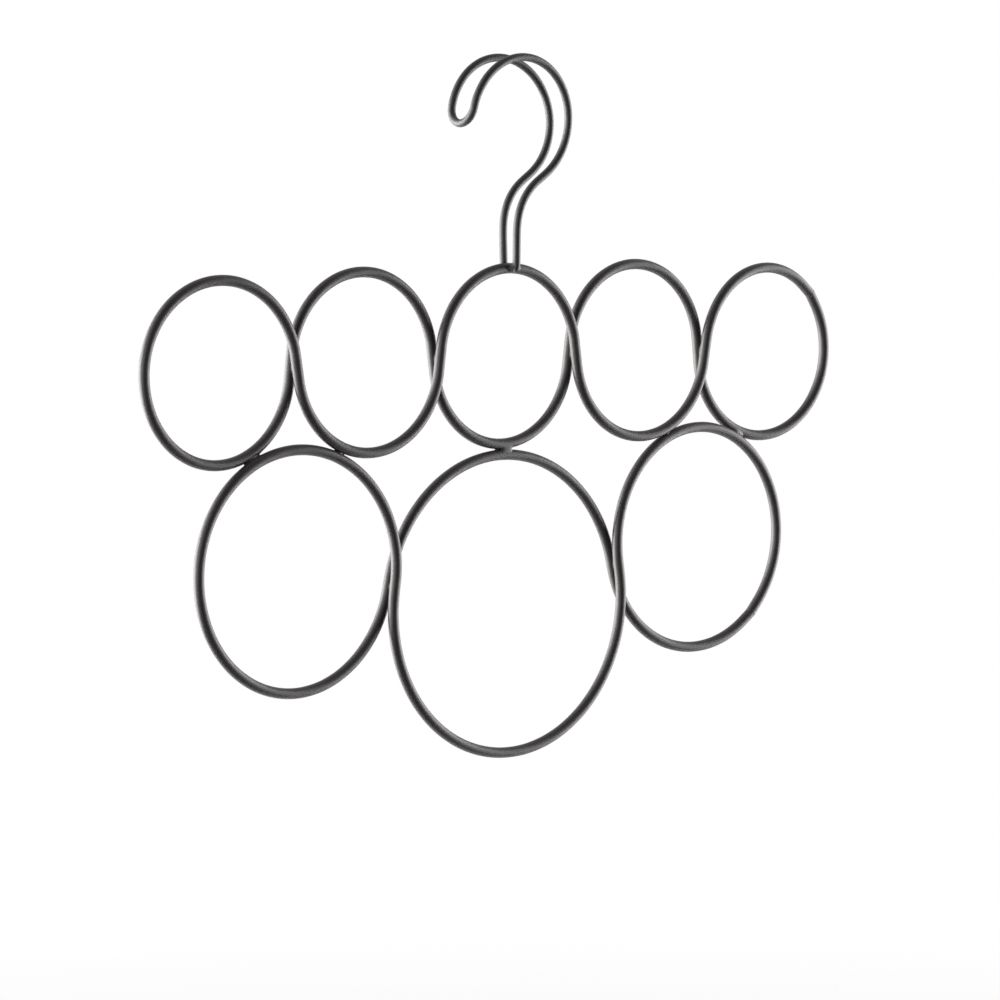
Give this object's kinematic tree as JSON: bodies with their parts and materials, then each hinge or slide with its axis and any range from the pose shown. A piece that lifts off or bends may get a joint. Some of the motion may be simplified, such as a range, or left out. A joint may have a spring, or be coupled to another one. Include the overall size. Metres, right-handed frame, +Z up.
{
  "type": "scarf hanger",
  "caption": "Flat hanger of round wire loops welded in rows under a doubled wire hook; it hangs on a closet rail and holds scarves or ties drawn through its loops.",
  "frame": {"origin": "under the highest point of the hook's arch, half way between the hook's wires: where it rests on its rail", "axes": "+X to the right along the rows of loops as seen from the front, +Y to the back along the rail, +Z up"},
  "size_m": [0.4039, 0.0206, 0.3173],
  "materials": {
    "row_coat": "satin black powder coat on bent steel wire, fine orange peel",
    "hook_coat": "satin black powder coat on thinner bent steel wire",
    "weld_coat": "satin black powder coat pooled over a weld bead",
    "seam_coat": "satin black powder coat over a dressed butt weld"
  },
  "bodies": {
    "root": {"upper_front_run": "row_coat", "upper_rear_run": "row_coat", "lower_front_run": "row_coat", "lower_rear_run": "row_coat", "hook": "hook_coat", "upper_seam": "seam_coat", "lower_seam": "seam_coat", "crossing_weld_1_2": "weld_coat", "crossing_weld_2_3": "weld_coat", "crossing_weld_3_4": "weld_coat", "crossing_weld_4_5": "weld_coat", "crossing_weld_6_7": "weld_coat", "crossing_weld_7_8": "weld_coat", "row_weld_1_6": "weld_coat", "row_weld_2_6": "weld_coat", "row_weld_3_7": "weld_coat", "row_weld_4_8": "weld_coat", "row_weld_5_8": "weld_coat", "front_leg_weld": "weld_coat", "rear_leg_weld": "weld_coat"}
  },
  "joints": []
}
